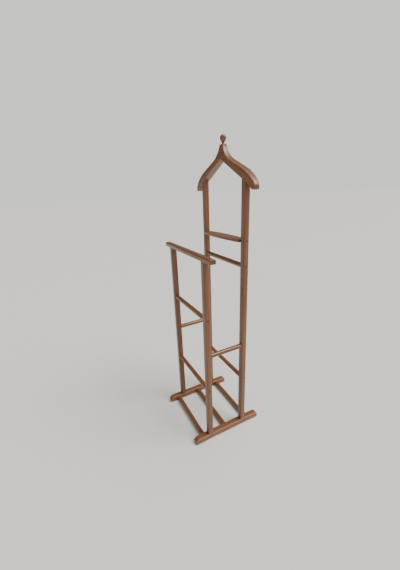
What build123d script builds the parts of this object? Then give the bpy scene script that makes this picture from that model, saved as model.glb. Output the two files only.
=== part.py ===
from build123d import *
import math
import os

os.makedirs("parts", exist_ok=True)

# A wooden valet stand. Millimetres, +Z up, +X to the wearer's right, -Y to the front.
# The origin is on the floor, under the middle of the two feet.

# Layout of the four posts
post_spacing_x = 282.0  # between the centres of the left and the right posts
post_spacing_y = 165.0  # between the centres of the front and the rear posts
front_overhang = 72.0  # from a front post's centre to the nose of its foot
rear_overhang = 84.0  # from a rear post's centre to the tail of its foot

# Heights above the floor
lower_rung_z = 251.0
side_rung_z = 410.0
front_upper_rung_z = 568.0
trouser_bar_z = 799.0
notch_z = 1122.0  # the inner corner of the hanger

# Heights from another piece
neck_height = 49.0  # from the notch up to the top of the neck
shelf_drop = 282.0  # from the notch down to the shelf
rear_upper_rung_drop = 93.0  # from the shelf down to the rung below it

# Posts
post_side = 24.0
post_corner = 6.0

# Feet
foot_width = 25.0
foot_height = 27.0
foot_edge = 4.0
nose_top_radius = 16.0
nose_bottom_radius = 7.0
foot_pad_length = 45.0  # the part of each end that touches the floor
foot_relief = 3.0
foot_ramp_length = 12.0
foot_ramp_radius = 20.0

# Round rungs and shoe bars
rung_diameter = 19.0
shoe_bar_diameter = 19.0
shoe_bar_spacing = 110.0
socket_depth = 9.0
rung_fit = 0.1  # on the diameter, taken up by glue
end_chamfer = 0.8

# Trouser bar
trouser_bar_width = 25.0
trouser_bar_height = 18.0
trouser_bar_overhang = 56.0  # past the centre of each front post
trouser_bar_top_radius = 7.0
trouser_bar_bottom_radius = 3.0
trouser_bar_end_radius = 2.5

# Bowed shelf between the rear posts
shelf_middle_width = 56.0
shelf_end_width = 36.0
shelf_thickness = 10.0
shelf_edge = 2.5
shelf_tenon_width = 14.0
shelf_tenon_shoulder = 1.5  # above and below the tenon

# Coat hanger
hanger_overhang = 60.0  # past the centre of each rear post
arm_slope = 28.0  # degrees, of the underside that the posts carry
arm_depth = 25.0  # straight up from the underside, near the neck
shoulder_depth = 32.0  # the same, above the post
neck_width = 23.0
neck_thickness = 18.0
neck_base_thickness = 27.0
neck_taper_height = 62.0  # the neck thins over this height, up to its top
neck_flare_x = 48.0  # where the neck has turned into the arm
droop_start = 35.0  # past the post's centre, where the underside starts to droop
shoulder_thickness = 30.0
tip_thickness = 21.0
tip_drop = 6.0  # how far the tip hangs below the line of the underside
tip_radius = 7.0

# Finial, a turned ball on a short stem
finial_height = 32.0
finial_diameter = 23.0
finial_widest_z = 20.0  # above the neck
finial_stem_diameter = 8.0
finial_stem_height = 4.0
finial_foot_diameter = 11.0

# Dowels, drilled a little deeper than they are long
dowel_fit = 0.1
dowel_end_gap = 1.0
lap_dowel_diameter = 6.0
lap_dowel_offset_x = 9.0
lap_dowel_low = 18.0  # above the notch
lap_dowel_high = 34.0
post_dowel_diameter = 10.0
post_dowel_length = 42.0
post_dowel_in_arm = 17.0
dowel_chamfer = 1.0

# Threaded stud that joins the finial to the neck
stud_diameter = 4.0
stud_in_finial = 14.0
stud_in_neck = 18.0
stud_tip = 1.0

# Screws and the wood plugs that cover them
screw_diameter = 4.0
screw_head_diameter = 8.0
screw_head_height = 2.4
screw_head_round = 0.8
recess_length = 4.4
recess_width = 1.1
recess_depth = 1.3
head_room = 1.0  # on the diameter, around a foot screw's head
screw_tip_length = 5.0
screw_clearance = 0.5
pilot_fit = 0.1
pilot_end_gap = 1.0
plug_diameter = 10.0
plug_depth = 6.0  # from the wood's face to the seat of the screw's head
plug_fit = 0.1
cross_screw_length = 38.0
trouser_screw_length = 45.0
foot_screw_length = 60.0
foot_counterbore_depth = 6.0

# Places that follow from the sizes above
post_x = post_spacing_x / 2
foot_length = front_overhang + post_spacing_y + rear_overhang
front_y = front_overhang - foot_length / 2
rear_y = foot_length / 2 - rear_overhang
middle_y = (front_y + rear_y) / 2
hanger_half_span = post_x + hanger_overhang
neck_top_z = notch_z + neck_height
shelf_z = notch_z - shelf_drop
rear_upper_rung_z = shelf_z - rear_upper_rung_drop
inner_face_x = post_x - post_side / 2
outer_face_x = post_x + post_side / 2
socket_x = inner_face_x + socket_depth
shoe_bar_z = foot_height / 2
shoe_bar_end_x = post_x - foot_width / 2 + socket_depth
shelf_tenon_thickness = shelf_thickness - 2 * shelf_tenon_shoulder
trouser_bar_bottom_z = trouser_bar_z - trouser_bar_height / 2
trouser_bar_top_z = trouser_bar_z + trouser_bar_height / 2
slope = math.tan(math.radians(arm_slope))
tip_x = hanger_half_span - tip_radius
screw_seat_x = outer_face_x - plug_depth
foot_screw_seat_z = foot_relief + foot_counterbore_depth
trouser_screw_seat_z = trouser_bar_top_z - plug_depth


def underside_z(x):
    """Height of the hanger's straight underside at a distance x from the middle."""
    return notch_z - slope * x


post_dowel_bottom_z = underside_z(post_x) + post_dowel_in_arm - post_dowel_length
lap_dowel_places = [
    (-lap_dowel_offset_x, notch_z + lap_dowel_high),
    (lap_dowel_offset_x, notch_z + lap_dowel_low),
]

cross_rungs = {
    "front_upper_rung": (front_y, front_upper_rung_z),
    "front_lower_rung": (front_y, lower_rung_z),
    "rear_upper_rung": (rear_y, rear_upper_rung_z),
    "rear_lower_rung": (rear_y, lower_rung_z),
}
cross_joints = list(cross_rungs.values()) + [(rear_y, shelf_z)]
shoe_bars = {
    "shoe_bar_front": middle_y - shoe_bar_spacing,
    "shoe_bar_middle": middle_y,
    "shoe_bar_rear": middle_y + shoe_bar_spacing,
}
sides = {"left": -1, "right": 1}


def write(shape, name):
    """Labels a finished piece and writes it under its own name."""
    shape.label = name
    export_step(shape, f"parts/{name}.step")


def drill_x(x_from, x_to, y, z, diameter):
    """A round hole along X, cut from the part being built."""
    with BuildSketch(Plane.YZ.offset(min(x_from, x_to))) as hole:
        with Locations((y, z)):
            Circle(diameter / 2)
    extrude(hole.sketch, amount=abs(x_to - x_from), mode=Mode.SUBTRACT)


def drill_y(y_from, y_to, x, z, diameter):
    """A round hole along Y, cut from the part being built."""
    with BuildSketch(Plane.XZ.offset(-max(y_from, y_to))) as hole:
        with Locations((x, z)):
            Circle(diameter / 2)
    extrude(hole.sketch, amount=abs(y_to - y_from), mode=Mode.SUBTRACT)


def drill_z(z_from, z_to, x, y, diameter):
    """A round hole along Z, cut from the part being built."""
    with BuildSketch(Plane.XY.offset(min(z_from, z_to))) as hole:
        with Locations((x, y)):
            Circle(diameter / 2)
    extrude(hole.sketch, amount=abs(z_to - z_from), mode=Mode.SUBTRACT)


def foot(side):
    """A foot, arched below between its two pads, with sockets for the shoe bars on its inner face."""
    half_length = foot_length / 2
    pad_y = half_length - foot_pad_length
    ramp_y = pad_y - foot_ramp_length
    inner_x = post_x - foot_width / 2
    nose_top = min(nose_top_radius, foot_height - nose_bottom_radius - 0.5)
    with BuildPart() as blank:
        with BuildSketch(Plane.YZ.offset(side * post_x - foot_width / 2)) as outline:
            with BuildLine():
                Polyline(
                    (-half_length, 0),
                    (-half_length, foot_height),
                    (half_length, foot_height),
                    (half_length, 0),
                    (pad_y, 0),
                    (ramp_y, foot_relief),
                    (-ramp_y, foot_relief),
                    (-pad_y, 0),
                    close=True,
                )
            make_face()
            fillet(outline.vertices().group_by(Axis.Y)[-1], nose_top)
            on_floor = outline.vertices().group_by(Axis.Y)[0].sort_by(Axis.X)
            arch = outline.vertices().filter_by(lambda v: abs(v.Y - foot_relief) < 0.01)
            fillet([on_floor[1], on_floor[2]] + list(arch), foot_ramp_radius)
            on_floor = outline.vertices().group_by(Axis.Y)[0].sort_by(Axis.X)
            fillet([on_floor[0], on_floor[-1]], nose_bottom_radius)
        extrude(amount=foot_width)
        fillet(blank.faces().filter_by(Axis.X).edges(), foot_edge)
        for y in shoe_bars.values():
            drill_x(
                side * inner_x,
                side * (inner_x + socket_depth),
                y,
                shoe_bar_z,
                shoe_bar_diameter + rung_fit,
            )
        for y in (front_y, rear_y):
            drill_z(0, foot_screw_seat_z, side * post_x, y, screw_head_diameter + head_room)
            drill_z(0, foot_height, side * post_x, y, screw_diameter + screw_clearance)
    return blank.part


def post(side, y, top_z, rung_heights):
    """A post from its foot up to top_z, with its sockets, its screw holes and a pilot hole below."""
    facing = 1 if y < 0 else -1
    side_socket_y = y + facing * (post_side / 2 - socket_depth)
    with BuildPart() as blank:
        with BuildSketch(Plane.XY.offset(foot_height)):
            with Locations((side * post_x, y)):
                RectangleRounded(post_side, post_side, post_corner)
        extrude(amount=top_z - foot_height)
        for z in rung_heights:
            drill_x(side * inner_face_x, side * socket_x, y, z, rung_diameter + rung_fit)
            drill_screw_hole(side, y, z)
        drill_y(
            side_socket_y,
            y + facing * post_side / 2,
            side * post_x,
            side_rung_z,
            rung_diameter + rung_fit,
        )
        pilot_top = foot_screw_seat_z + foot_screw_length + pilot_end_gap
        drill_z(foot_height, pilot_top, side * post_x, y, screw_diameter + pilot_fit)
    return blank.part


def drill_screw_hole(side, y, z):
    """A clearance hole and a counterbore through what is left of a post behind a socket."""
    drill_x(side * socket_x, side * screw_seat_x, y, z, screw_diameter + screw_clearance)
    drill_x(side * screw_seat_x, side * outer_face_x, y, z, plug_diameter + plug_fit)


def front_post(side):
    """A short post, with a pilot hole in its top for the trouser bar's screw."""
    with BuildPart() as finished:
        add(post(side, front_y, trouser_bar_bottom_z, (front_upper_rung_z, lower_rung_z)))
        pilot_bottom = trouser_screw_seat_z - trouser_screw_length - pilot_end_gap
        drill_z(
            pilot_bottom, trouser_bar_bottom_z, side * post_x, front_y, screw_diameter + pilot_fit
        )
    return finished.part


def rear_post(side):
    """A tall post, cut to the slope of the hanger, with a mortise for the shelf's tenon."""
    seat_z = underside_z(post_x)
    angle = math.radians(arm_slope)
    seat = Plane(
        origin=(side * post_x, rear_y, seat_z), z_dir=(side * math.sin(angle), 0, math.cos(angle))
    )
    with BuildPart() as finished:
        add(post(side, rear_y, seat_z + post_side, (rear_upper_rung_z, lower_rung_z)))
        split(bisect_by=seat, keep=Keep.BOTTOM)
        with BuildSketch(Plane.YZ.offset(min(side * inner_face_x, side * socket_x))):
            with Locations((rear_y, shelf_z)):
                Rectangle(shelf_tenon_width + rung_fit, shelf_tenon_thickness + rung_fit)
        extrude(amount=socket_depth, mode=Mode.SUBTRACT)
        drill_screw_hole(side, rear_y, shelf_z)
        drill_z(
            post_dowel_bottom_z - dowel_end_gap,
            seat_z + post_side,
            side * post_x,
            rear_y,
            post_dowel_diameter + dowel_fit,
        )
    return finished.part


def round_bar_x(y, z, diameter, half_length):
    """A round bar along X, chamfered at its ends."""
    with BuildPart() as bar:
        with BuildSketch(Plane.YZ.offset(-half_length)):
            with Locations((y, z)):
                Circle(diameter / 2)
        extrude(amount=2 * half_length)
        chamfer(bar.faces().filter_by(Axis.X).edges(), end_chamfer)
    return bar.part


def drill_end_pilots(y, z):
    """Pilot holes for the cross screws in both ends of a piece that lies in the posts' sockets."""
    pilot_x = screw_seat_x - cross_screw_length - pilot_end_gap
    for side in sides.values():
        drill_x(side * pilot_x, side * socket_x, y, z, screw_diameter + pilot_fit)


def cross_rung(y, z):
    """A round rung between the left and the right post."""
    with BuildPart() as rung:
        add(round_bar_x(y, z, rung_diameter, socket_x))
        drill_end_pilots(y, z)
    return rung.part


def side_rung(side):
    """A round rung between the front and the rear post of one side."""
    start_y = front_y + post_side / 2 - socket_depth
    end_y = rear_y - post_side / 2 + socket_depth
    with BuildPart() as rung:
        with BuildSketch(Plane.XZ.offset(-end_y)):
            with Locations((side * post_x, side_rung_z)):
                Circle(rung_diameter / 2)
        extrude(amount=end_y - start_y)
        chamfer(rung.faces().filter_by(Axis.Y).edges(), end_chamfer)
    return rung.part


def trouser_bar():
    """The wide bar on the front posts, rounder above than below."""
    half_length = post_x + trouser_bar_overhang
    with BuildPart() as bar:
        with BuildSketch(Plane.YZ.offset(-half_length)) as section:
            with Locations((front_y, trouser_bar_z)):
                Rectangle(trouser_bar_width, trouser_bar_height)
            fillet(section.vertices().group_by(Axis.Y)[-1], trouser_bar_top_radius)
            fillet(section.vertices().group_by(Axis.Y)[0], trouser_bar_bottom_radius)
        extrude(amount=2 * half_length)
        fillet(bar.faces().filter_by(Axis.X).edges(), trouser_bar_end_radius)
        for side in sides.values():
            drill_z(
                trouser_screw_seat_z,
                trouser_bar_top_z,
                side * post_x,
                front_y,
                plug_diameter + plug_fit,
            )
            drill_z(
                trouser_bar_bottom_z,
                trouser_screw_seat_z,
                side * post_x,
                front_y,
                screw_diameter + screw_clearance,
            )
    return bar.part


def accessory_shelf():
    """The bowed slat between the rear posts, with a stub tenon at each end."""
    end = (inner_face_x, shelf_end_width / 2)
    middle = shelf_middle_width / 2
    with BuildPart() as slat:
        with BuildSketch(Plane((0, rear_y, shelf_z - shelf_thickness / 2))):
            with BuildLine():
                front = ThreePointArc((-end[0], -end[1]), (0, -middle), (end[0], -end[1]))
                back = ThreePointArc((-end[0], end[1]), (0, middle), (end[0], end[1]))
                Line(front @ 0, back @ 0)
                Line(front @ 1, back @ 1)
            make_face()
        extrude(amount=shelf_thickness)
        long_edges = slat.edges().filter_by(GeomType.CIRCLE)
        fillet(long_edges, shelf_edge)
        with BuildSketch(Plane.YZ.offset(-socket_x)):
            with Locations((rear_y, shelf_z)):
                Rectangle(shelf_tenon_width, shelf_tenon_thickness)
        extrude(amount=2 * socket_x)
        drill_end_pilots(rear_y, shelf_z)
    return slat.part


def hanger_outline():
    """Half of the hanger from the front, to the right of its middle, as a closed wire."""
    angle = math.radians(arm_slope)
    down_slope = (math.cos(angle), -math.sin(angle))
    neck_edge = (neck_width / 2, neck_top_z)
    flare = (neck_flare_x, underside_z(neck_flare_x) + arm_depth)
    shoulder = (post_x, underside_z(post_x) + shoulder_depth)
    tip_z = underside_z(tip_x) - tip_drop + tip_radius
    droop_x = post_x + droop_start
    under = Line((0, notch_z), (droop_x, underside_z(droop_x)))
    tip_under = (tip_x - tip_radius * math.sin(angle), tip_z - tip_radius * math.cos(angle))
    Spline(under @ 1, tip_under, tangents=(down_slope, down_slope))
    tip = ThreePointArc(
        tip_under,
        (tip_x + tip_radius * math.sin(angle), tip_z - tip_radius * math.cos(angle)),
        (hanger_half_span, tip_z),
    )
    top = Spline(tip @ 1, shoulder, flare, neck_edge, tangents=((0, 1), (-0.15, 1)))
    Line(top @ 1, (0, neck_top_z))
    Line((0, neck_top_z), under @ 0)


def hanger_blank():
    """Both arms as one shape: the outlines from the front, from above and from the side in common."""
    reach = 2 * hanger_half_span
    half_height = neck_top_z - notch_z
    with BuildPart() as blank:
        with BuildSketch(Plane.XZ.offset(-rear_y - shoulder_thickness)):
            with BuildLine():
                hanger_outline()
            make_face()
            mirror(about=Plane.YZ)
        extrude(amount=2 * shoulder_thickness)
        with BuildSketch(Plane((0, rear_y, notch_z - reach))):
            with BuildLine():
                side_of_arm = Spline(
                    (0, neck_base_thickness / 2),
                    (post_x, shoulder_thickness / 2),
                    (hanger_half_span, tip_thickness / 2),
                    tangents=((1, 0), (1, -0.5)),
                )
                Line(side_of_arm @ 1, (hanger_half_span, 0))
                Line((0, 0), (hanger_half_span, 0))
                Line((0, 0), side_of_arm @ 0)
            make_face()
            mirror(about=Plane.XZ)
            mirror(about=Plane.YZ)
        extrude(amount=2 * reach, mode=Mode.INTERSECT)
        with BuildSketch(Plane((-reach, rear_y, neck_top_z), x_dir=(0, 1, 0), z_dir=(1, 0, 0))):
            with BuildLine():
                Polyline(
                    (-shoulder_thickness / 2, -reach),
                    (-shoulder_thickness / 2, -neck_taper_height),
                    (-neck_thickness / 2, 0),
                    (neck_thickness / 2, 0),
                    (shoulder_thickness / 2, -neck_taper_height),
                    (shoulder_thickness / 2, -reach),
                    close=True,
                )
            make_face()
        extrude(amount=2 * reach, mode=Mode.INTERSECT)
    return blank.part


def hanger_arm(side, blank):
    """One arm: its half of the hanger, and its half of the lap's thickness in the neck."""
    reach = 2 * hanger_half_span
    lap_rise = slope * reach
    with BuildPart() as arm:
        add(blank)
        for layer in sides.values():
            # The front layer of the lap belongs to the right arm, the rear layer to the left arm.
            owns_lap = layer != side
            edge_rise = lap_rise if owns_lap else -lap_rise
            start = rear_y if layer > 0 else rear_y - shoulder_thickness
            with BuildSketch(Plane.XZ.offset(-start - shoulder_thickness)):
                with BuildLine():
                    if owns_lap:
                        Polyline(
                            (0, notch_z),
                            (-side * reach, notch_z + edge_rise),
                            (-side * reach, notch_z - reach),
                            (0, notch_z - reach),
                            close=True,
                        )
                    else:
                        Polyline(
                            (0, notch_z - reach),
                            (0, notch_z),
                            (side * reach, notch_z - edge_rise),
                            (side * reach, notch_z + 2 * reach),
                            (-side * reach, notch_z + 2 * reach),
                            (-side * reach, notch_z - reach),
                            close=True,
                        )
                make_face()
            extrude(amount=shoulder_thickness, mode=Mode.SUBTRACT)
        for x, z in lap_dowel_places:
            drill_y(
                rear_y - shoulder_thickness,
                rear_y + shoulder_thickness,
                x,
                z,
                lap_dowel_diameter + dowel_fit,
            )
        drill_z(
            notch_z - reach,
            post_dowel_bottom_z + post_dowel_length + dowel_end_gap,
            side * post_x,
            rear_y,
            post_dowel_diameter + dowel_fit,
        )
        drill_z(
            neck_top_z - stud_in_neck - dowel_end_gap,
            neck_top_z,
            0,
            rear_y,
            stud_diameter + pilot_fit,
        )
    return arm.part


def lap_dowels(blank):
    """Two pins through the lap, cut off flush with the front and the back of the neck."""
    with BuildPart() as pins:
        for x, z in lap_dowel_places:
            with BuildSketch(Plane.XZ.offset(-rear_y - shoulder_thickness)):
                with Locations((x, z)):
                    Circle(lap_dowel_diameter / 2)
            extrude(amount=2 * shoulder_thickness)
        add(blank, mode=Mode.INTERSECT)
    return pins.part


def finial():
    """The turned ball on top of the neck, on a short stem, with a hole for its stud."""
    stem_radius = finial_stem_diameter / 2
    waist = (stem_radius, finial_stem_height)
    widest = (finial_diameter / 2, finial_widest_z)
    with BuildPart() as knob:
        with BuildSketch(Plane((0, rear_y, neck_top_z), x_dir=(1, 0, 0), z_dir=(0, -1, 0))):
            with BuildLine():
                Line((0, 0), (finial_foot_diameter / 2, 0))
                Line((finial_foot_diameter / 2, 0), waist)
                Spline(waist, widest, tangents=((0.6, 1), (0, 1)))
                Spline(widest, (0, finial_height), tangents=((0, 1), (-1, 0)))
                Line((0, finial_height), (0, 0))
            make_face()
        revolve(axis=Axis((0, rear_y, neck_top_z), (0, 0, 1)))
        drill_z(
            neck_top_z,
            neck_top_z + stud_in_finial + dowel_end_gap,
            0,
            rear_y,
            stud_diameter + pilot_fit,
        )
    return knob.part


def finial_stud():
    """A stud with a thread at both ends, half in the neck and half in the finial."""
    with BuildPart() as stud:
        with BuildSketch(Plane((0, rear_y, neck_top_z - stud_in_neck))):
            Circle(stud_diameter / 2)
        extrude(amount=stud_in_neck + stud_in_finial)
        chamfer(stud.faces().filter_by(Axis.Z).edges(), stud_tip)
    return stud.part


def wood_screw(length):
    """A flat-seated wood screw, pointing down, with the seat of its head at the origin."""
    radius = screw_diameter / 2
    head_radius = screw_head_diameter / 2
    with BuildPart() as screw:
        with BuildSketch(Plane.XZ):
            with BuildLine():
                Polyline(
                    (0, screw_head_height),
                    (head_radius - screw_head_round, screw_head_height),
                    (head_radius, screw_head_height - screw_head_round),
                    (head_radius, 0),
                    (radius, 0),
                    (radius, screw_tip_length - length),
                    (0, -length),
                    close=True,
                )
            make_face()
        revolve(axis=Axis.Z)
        with BuildSketch(Plane.XY.offset(screw_head_height - recess_depth)):
            Rectangle(recess_length, recess_width)
            Rectangle(recess_width, recess_length)
        extrude(amount=recess_depth, mode=Mode.SUBTRACT)
    return screw.part


def wood_plug():
    """A plug that fills a counterbore from the top of the screw's head to the wood's face."""
    with BuildPart() as plug:
        with BuildSketch(Plane.XY.offset(screw_head_height)):
            Circle(plug_diameter / 2)
        extrude(amount=plug_depth - screw_head_height)
    return plug.part


def dowel():
    """A chamfered pin from a rear post up into its hanger arm, with its lower end at the origin."""
    with BuildPart() as pin:
        with BuildSketch(Plane.XY):
            Circle(post_dowel_diameter / 2)
        extrude(amount=post_dowel_length)
        chamfer(pin.faces().filter_by(Axis.Z).edges(), dowel_chamfer)
    return pin.part


def write_group(shape, places, name):
    """Writes one node of separate copies of a shape, one at each place."""
    with BuildPart() as copies:
        with Locations(*places):
            add(shape)
    write(copies.part, name)


# Screw seats: the head of each screw points along the place's own +Z.
cross_places = []
for side in sides.values():
    for y, z in cross_joints:
        cross_places.append(Location((side * screw_seat_x, y, z), (0, side * 90, 0)))
trouser_places = []
foot_places = []
for side in sides.values():
    trouser_places.append(Location((side * post_x, front_y, trouser_screw_seat_z)))
    for y in (front_y, rear_y):
        foot_places.append(Location((side * post_x, y, foot_screw_seat_z), (180, 0, 0)))
post_dowel_places = [Location((side * post_x, rear_y, post_dowel_bottom_z)) for side in sides.values()]

blank_of_hanger = hanger_blank()
for side_name, side in sides.items():
    write(foot(side), f"foot_{side_name}")
    write(front_post(side), f"post_front_{side_name}")
    write(rear_post(side), f"post_rear_{side_name}")
    write(side_rung(side), f"side_rung_{side_name}")
    write(hanger_arm(side, blank_of_hanger), f"hanger_arm_{side_name}")
for rung_name, (y, z) in cross_rungs.items():
    write(cross_rung(y, z), rung_name)
for bar_name, y in shoe_bars.items():
    write(round_bar_x(y, shoe_bar_z, shoe_bar_diameter, shoe_bar_end_x), bar_name)
write(trouser_bar(), "trouser_bar")
write(accessory_shelf(), "accessory_shelf")
write(finial(), "finial")
write(finial_stud(), "finial_stud")
write(lap_dowels(blank_of_hanger), "hanger_lap_dowels")
write_group(dowel(), post_dowel_places, "hanger_post_dowels")
write_group(wood_screw(cross_screw_length), cross_places, "cross_member_screws")
write_group(wood_plug(), cross_places, "cross_member_plugs")
write_group(wood_screw(trouser_screw_length), trouser_places, "trouser_bar_screws")
write_group(wood_plug(), trouser_places, "trouser_bar_plugs")
write_group(wood_screw(foot_screw_length), foot_places, "foot_screws")
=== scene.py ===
import math

import bmesh
import bpy
from bpy.props import FloatProperty, FloatVectorProperty, PointerProperty
from bpy.types import Operator, Panel, PropertyGroup
from mathutils import Euler, Matrix, Vector
from mathutils.geometry import interpolate_bezier


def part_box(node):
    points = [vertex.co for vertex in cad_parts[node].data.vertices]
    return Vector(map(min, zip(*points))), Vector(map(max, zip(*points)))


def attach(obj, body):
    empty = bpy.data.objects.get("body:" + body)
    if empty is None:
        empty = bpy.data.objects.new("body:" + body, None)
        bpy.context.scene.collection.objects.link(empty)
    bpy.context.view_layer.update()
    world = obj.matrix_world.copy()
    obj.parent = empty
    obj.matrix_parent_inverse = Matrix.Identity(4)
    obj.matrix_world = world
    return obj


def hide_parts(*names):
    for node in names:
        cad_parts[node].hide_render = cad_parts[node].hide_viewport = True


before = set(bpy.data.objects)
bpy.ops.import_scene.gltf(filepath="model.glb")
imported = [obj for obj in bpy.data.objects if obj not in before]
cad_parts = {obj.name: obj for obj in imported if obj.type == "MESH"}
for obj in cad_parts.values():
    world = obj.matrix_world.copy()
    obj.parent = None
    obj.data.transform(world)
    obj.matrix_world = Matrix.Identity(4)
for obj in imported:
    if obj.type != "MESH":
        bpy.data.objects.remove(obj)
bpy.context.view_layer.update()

bl_info = {
    "name": "Wooden valet stand",
    "version": (1, 0, 0),
    "blender": (4, 5, 0),
    "location": "3D View > Sidebar > Valet",
    "description": "Builds the wood, the plugs and the studio of a valet stand around its frame",
    "category": "Object",
}

MM = 0.001
SIDES = {"left": -1, "right": 1}
POST_TONES = {
    "post_front_left": 0.20,
    "post_front_right": 0.50,
    "post_rear_left": 0.60,
    "post_rear_right": 0.54,
}
CROSS_RUNGS = ["front_upper_rung", "front_lower_rung", "rear_upper_rung", "rear_lower_rung"]
SHOE_BARS = ["shoe_bar_front", "shoe_bar_middle", "shoe_bar_rear"]
ALONG_X, ALONG_Y, ALONG_Z = Vector((1, 0, 0)), Vector((0, 1, 0)), Vector((0, 0, 1))


def length(name, description, default):
    """A length that a user may change."""
    return FloatProperty(
        name=name, description=description, default=default, unit="LENGTH", subtype="DISTANCE"
    )


def colour(name, description, default):
    """A colour that a user may change."""
    return FloatVectorProperty(
        name=name, description=description, default=default, size=3, min=0, max=1, subtype="COLOR"
    )


# ---------------------------------------------------------------- sizes and colours


class ValetSizes(PropertyGroup):
    """Sizes of the edges, joints and outlines that the frame leaves open."""

    post_corner: length("Post corner", "Radius of the long edges of a post", 0.006)
    joint_chamfer: length("Joint chamfer", "Small chamfer where a post stands on or under a piece", 0.0006)
    bead: length("Joint bead", "How far the bead of varnish round a rung stands off it", 0.0005)
    nose_top: length("Foot nose, top", "Radius of a foot's upper end", 0.016)
    nose_bottom: length("Foot nose, bottom", "Radius of a foot's lower end", 0.007)
    foot_edge: length("Foot edge", "Radius of a foot's long edges", 0.004)
    foot_pad: length("Foot pad", "Length of the part of a foot's end that stands on the floor", 0.045)
    foot_ramp: length("Foot ramp", "Length of the slope from a foot's pad to its arch", 0.012)
    foot_relief: length("Foot arch", "Height of the arch under a foot", 0.003)
    foot_bend: length("Foot arch, bends", "Radius at the two ends of each slope under a foot", 0.004)
    counterbore: length("Counterbore", "Diameter of the hole for a foot screw's head", 0.009)
    counterbore_depth: length("Counterbore depth", "From the floor up to the seat of a foot screw", 0.009)
    bar_top: length("Trouser bar, top", "Radius of the trouser bar's upper edges", 0.007)
    bar_bottom: length("Trouser bar, bottom", "Radius of the trouser bar's lower edges", 0.003)
    bar_end: length("Trouser bar, end", "Radius round each end of the trouser bar", 0.0025)
    shelf_end: length("Shelf end", "Width of the shelf at the posts", 0.036)
    shelf_edge: length("Shelf edge", "Radius of the shelf's edges", 0.0025)
    neck_width: length("Neck width", "Width of the top of the hanger's neck", 0.023)
    neck_thickness: length("Neck thickness", "Front to back of the top of the hanger's neck", 0.018)
    neck_base: length("Neck base", "Front to back of the hanger where the neck begins", 0.027)
    neck_taper: length("Neck taper", "Height over which the neck thins", 0.062)
    shoulder_thickness: length("Shoulder thickness", "Front to back of an arm above its post", 0.030)
    tip_thickness: length("Tip thickness", "Front to back of an arm's tip", 0.021)
    flare_depth: length("Flare depth", "Depth of an arm where the neck has turned into it", 0.025)
    shoulder_depth: length("Shoulder depth", "Depth of an arm above its post", 0.032)
    tip_edge: length("Tip edge", "Radius of the edges round an arm's tip", 0.009)
    seam: length("Lap seam", "Gap in the lap between the two arms", 0.00025)
    arm_slope: FloatProperty(
        name="Arm slope",
        description="Slope of the underside of an arm",
        default=math.radians(28),
        subtype="ANGLE",
    )
    finial_foot: length("Finial foot", "Radius of the finial's foot", 0.0055)
    finial_waist: length("Finial waist", "Radius of the finial's stem", 0.004)
    finial_stem: length("Finial stem", "Height above the neck at which the finial's ball begins", 0.004)
    finial_belly: length("Finial belly", "Height above the neck at which the finial is widest", 0.020)
    plug_rise: length("Plug rise", "How far a wood plug stands off the wood", 0.00025)
    plug_radius: length("Plug radius", "Radius of a wood plug", 0.005)
    pin_radius: length("Pin radius", "Radius of the two dowels through the neck", 0.003)


class ValetFinish(PropertyGroup):
    """Colours of the wood, the hardware and the studio."""

    light_wood: colour("Light wood", "The stained wood between its growth lines", (0.205, 0.079, 0.0225))
    dark_wood: colour("Dark wood", "The stained wood in its growth lines", (0.066, 0.0230, 0.0067))
    pore: colour("Pores", "The darkest stain, in the pores", (0.018, 0.007, 0.003))
    bare_wood: colour("Worn wood", "The wood where an edge is rubbed", (0.300, 0.165, 0.075))
    red_tint: colour("Red tint", "Reddish stain that lies in patches", (0.092, 0.028, 0.011))
    steel: colour("Steel", "The screws and the stud", (0.560, 0.550, 0.520))
    dull_steel: colour("Dull steel", "The spangles of the screws and the stud", (0.400, 0.390, 0.330))
    floor: colour("Floor", "The studio floor", (0.700, 0.695, 0.685))
    light: colour("Light", "The studio lights", (1.000, 0.960, 0.910))
    sky: colour("Sky", "The weak light from all round", (0.930, 0.920, 0.900))


def sizes():
    return bpy.context.scene.valet_sizes


def finish():
    return bpy.context.scene.valet_finish


# ---------------------------------------------------------------- places read from the frame


def corners(name):
    """The low and the high corner of a CAD node's box."""
    low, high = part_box(name)
    return Vector(low), Vector(high)


def middle(name):
    """The middle of a CAD node's box."""
    low, high = corners(name)
    return (low + high) / 2


def size_of(name):
    """The width, depth and height of a CAD node's box."""
    low, high = corners(name)
    return high - low


def inner_x():
    """How far a post's inner face is from the middle."""
    return corners("post_rear_right")[0].x


def rear_y():
    """Where the rear posts and the hanger stand, front to back."""
    return middle("post_rear_right").y


def notch_z():
    """Height of the inner corner of the hanger, where the lines of both undersides meet."""
    return corners("post_rear_right")[1].z + inner_x() * math.tan(sizes().arm_slope)


def underside_z(x):
    """Height of an arm's straight underside at a distance x from the middle."""
    return notch_z() - x * math.tan(sizes().arm_slope)


# ---------------------------------------------------------------- work at the bench


def deselect():
    """Leaves edit mode with nothing selected, so that the next operator acts on its own piece only."""
    if bpy.context.object and bpy.context.object.mode != "OBJECT":
        bpy.ops.object.mode_set(mode="OBJECT")
    bpy.ops.object.select_all(action="DESELECT")


def take(piece):
    """Leaves one piece selected and active."""
    deselect()
    piece.select_set(True)
    bpy.context.view_layer.objects.active = piece


def label(piece, name):
    """Names a piece and its mesh."""
    piece.name = name
    piece.data.name = name


def new_piece(name):
    """Names the primitive just added and fixes its size in its mesh."""
    piece = bpy.context.object
    label(piece, name)
    bpy.ops.object.transform_apply(location=True, rotation=True, scale=True)
    return piece


def block(name, low, high):
    """A block between two corners, in edit mode."""
    deselect()
    bpy.ops.mesh.primitive_cube_add(size=1, location=(low + high) / 2, scale=high - low)
    piece = new_piece(name)
    bpy.ops.object.mode_set(mode="EDIT")
    return piece


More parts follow.
